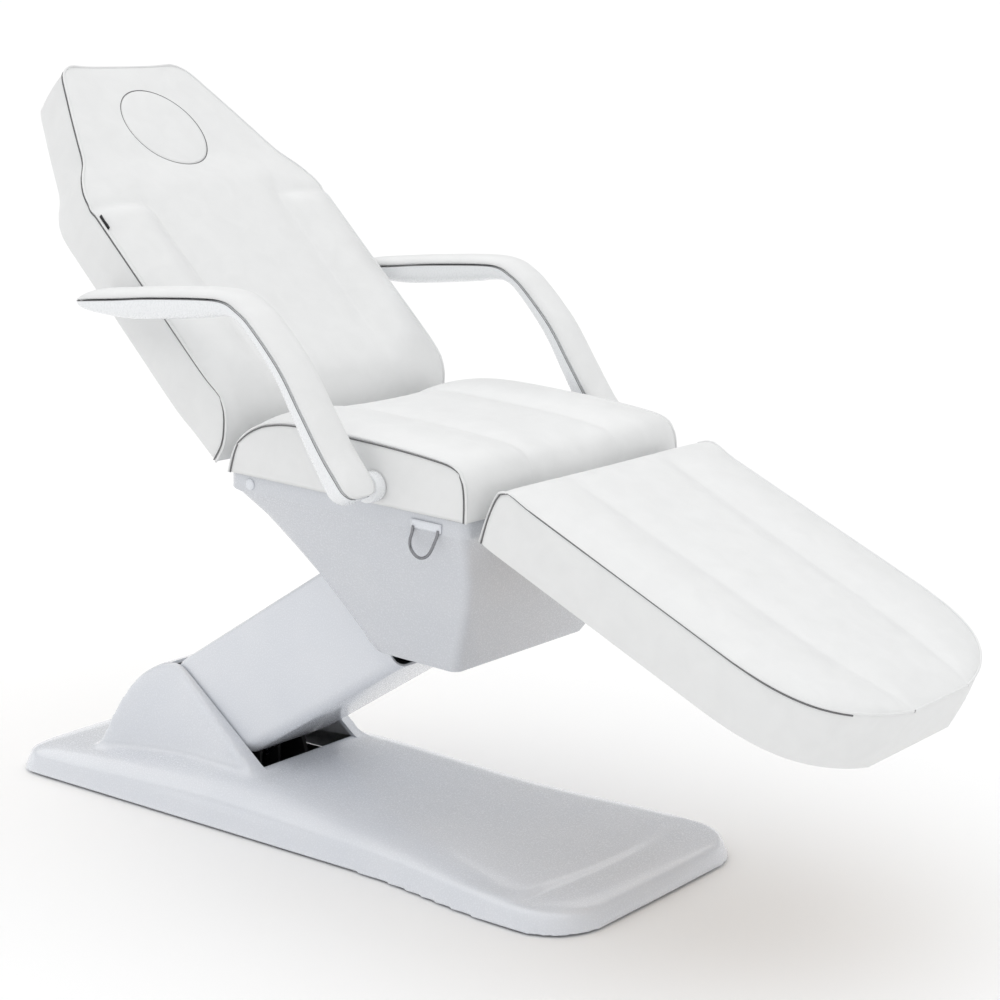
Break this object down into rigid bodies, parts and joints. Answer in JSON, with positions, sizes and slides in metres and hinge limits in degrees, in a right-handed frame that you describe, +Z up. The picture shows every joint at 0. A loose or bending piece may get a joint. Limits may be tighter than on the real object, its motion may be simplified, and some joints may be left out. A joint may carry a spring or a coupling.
{
  "type": "facial treatment bed",
  "caption": "Electric treatment bed: padded back with breathing hole, seat and legrest, swinging padded armrests, and a lift arm rising from a low moulded base.",
  "frame": {"origin": "on the floor, under the middle of the bed's overall length and width, in the pose shown (back raised, legrest lowered)", "axes": "+X towards the foot end, +Y towards the left side of a person lying on it, +Z up"},
  "size_m": [1.7556, 0.73, 1.2648],
  "materials": {
    "leather": "white upholstery leather, fine grain",
    "gloss_shell": "glossy moulded white plastic",
    "steel": "black powder-coated steel",
    "bright_steel": "bright plated steel",
    "plywood": "raw birch plywood",
    "rubber": "black rubber",
    "black_plastic": "black moulded plastic"
  },
  "bodies": {
    "base": {"base_cover": "gloss_shell", "base_plate": "steel", "foot_pad_right_0": "rubber", "foot_pad_left_0": "rubber", "foot_pad_right_1": "rubber", "foot_pad_left_1": "rubber", "foot_pad_right_2": "rubber", "foot_pad_left_2": "rubber", "lift_bracket_right": "steel", "lift_bracket_left": "steel", "lift_lower_shaft": "bright_steel", "link_lower_pin": "bright_steel", "lift_anchor_bracket": "steel", "lift_anchor_pin": "bright_steel", "control_box": "black_plastic", "mains_inlet": "black_plastic"},
    "lift_arm": {"lift_arm_cover": "gloss_shell", "lift_arm_bar_right": "steel", "lift_arm_bar_left": "steel", "lift_cross_tube_0": "steel", "lift_cross_tube_1": "steel", "lift_upper_shaft": "bright_steel", "lift_actuator_housing": "black_plastic"},
    "lift_rod": {"lift_actuator_rod": "bright_steel"},
    "link": {"parallel_link": "steel"},
    "carriage": {"seat_frame": "steel", "seat_board": "plywood", "seat_cushion": "leather", "seat_shroud": "gloss_shell", "link_upper_pin": "bright_steel", "back_hinge_shaft": "bright_steel", "leg_hinge_shaft": "bright_steel", "armrest_pin_right": "bright_steel", "armrest_pin_left": "bright_steel", "shroud_screw_right": "bright_steel", "shroud_screw_left": "bright_steel", "back_actuator_housing": "black_plastic", "back_actuator_pin": "bright_steel", "leg_actuator_housing": "black_plastic", "leg_actuator_pin": "bright_steel", "handset_hanger": "bright_steel"},
    "back": {"back_cushion": "leather", "back_board": "plywood", "back_frame": "steel", "back_lever_pin": "bright_steel"},
    "face_plug": {"face_plug": "leather"},
    "back_rod": {"back_actuator_rod": "bright_steel"},
    "legrest": {"leg_cushion": "leather", "leg_board": "plywood", "leg_frame": "steel", "leg_lever_pin": "bright_steel"},
    "leg_rod": {"leg_actuator_rod": "bright_steel"},
    "armrest_right": {"armrest_top_shell_right": "gloss_shell", "armrest_leg_shell_right": "gloss_shell", "armrest_pad_right": "leather", "armrest_hub_right": "gloss_shell"},
    "armrest_left": {"armrest_top_shell_left": "gloss_shell", "armrest_leg_shell_left": "gloss_shell", "armrest_pad_left": "leather", "armrest_hub_left": "gloss_shell"}
  },
  "joints": [
    {"name": "lift", "type": "hinge", "parent": "base", "child": "lift_arm", "pos_m": [-0.4757, 0, 0.162], "axis": [0, -1, 0], "range_deg": [-17, 23]},
    {"name": "seat_level", "type": "hinge", "parent": "lift_arm", "child": "carriage", "pos_m": [-0.03896, 0, 0.43491], "axis": [0, -1, 0], "range_deg": [-23, 17]},
    {"name": "link_swing", "type": "hinge", "parent": "base", "child": "link", "pos_m": [-0.4757, 0, 0.107], "axis": [0, -1, 0], "range_deg": [-17, 23]},
    {"name": "lift_rod_slide", "type": "slide", "parent": "lift_arm", "child": "lift_rod", "axis": [-0.7221, 0, -0.6918], "range_m": [-0.03, 0.04]},
    {"name": "back_recline", "type": "hinge", "parent": "carriage", "child": "back", "pos_m": [-0.2507, 0, 0.626], "axis": [0, -1, 0], "range_deg": [-20, 45]},
    {"name": "back_rod_slide", "type": "slide", "parent": "carriage", "child": "back_rod", "axis": [-0.9992, 0, 0.041], "range_m": [-0.065, 0.035]},
    {"name": "leg_lift", "type": "hinge", "parent": "carriage", "child": "legrest", "pos_m": [0.2133, 0, 0.604], "axis": [0, -1, 0], "range_deg": [-13, 24.7]},
    {"name": "leg_rod_slide", "type": "slide", "parent": "carriage", "child": "leg_rod", "axis": [0.9992, 0, -0.041], "range_m": [-0.02, 0.032]},
    {"name": "armrest_right_swing", "type": "hinge", "parent": "carriage", "child": "armrest_right", "pos_m": [0.0673, 0, 0.656], "axis": [0, -1, 0], "range_deg": [0, 50]},
    {"name": "armrest_left_swing", "type": "hinge", "parent": "carriage", "child": "armrest_left", "pos_m": [0.0673, 0, 0.656], "axis": [0, -1, 0], "range_deg": [0, 50]},
    {"name": "face_plug_lift", "type": "slide", "parent": "back", "child": "face_plug", "axis": [0.7071, 0, 0.7071], "range_m": [0, 0.09]}
  ],
  "couplings": [
    {"joint": "seat_level", "follows": "lift", "ratio": -1},
    {"joint": "link_swing", "follows": "lift", "ratio": 1},
    {"joint": "lift_rod_slide", "follows": "lift", "m_per_rad": 0.07706},
    {"joint": "back_rod_slide", "follows": "back_recline", "m_per_rad": -0.07563},
    {"joint": "leg_rod_slide", "follows": "leg_lift", "m_per_rad": 0.05901}
  ]
}
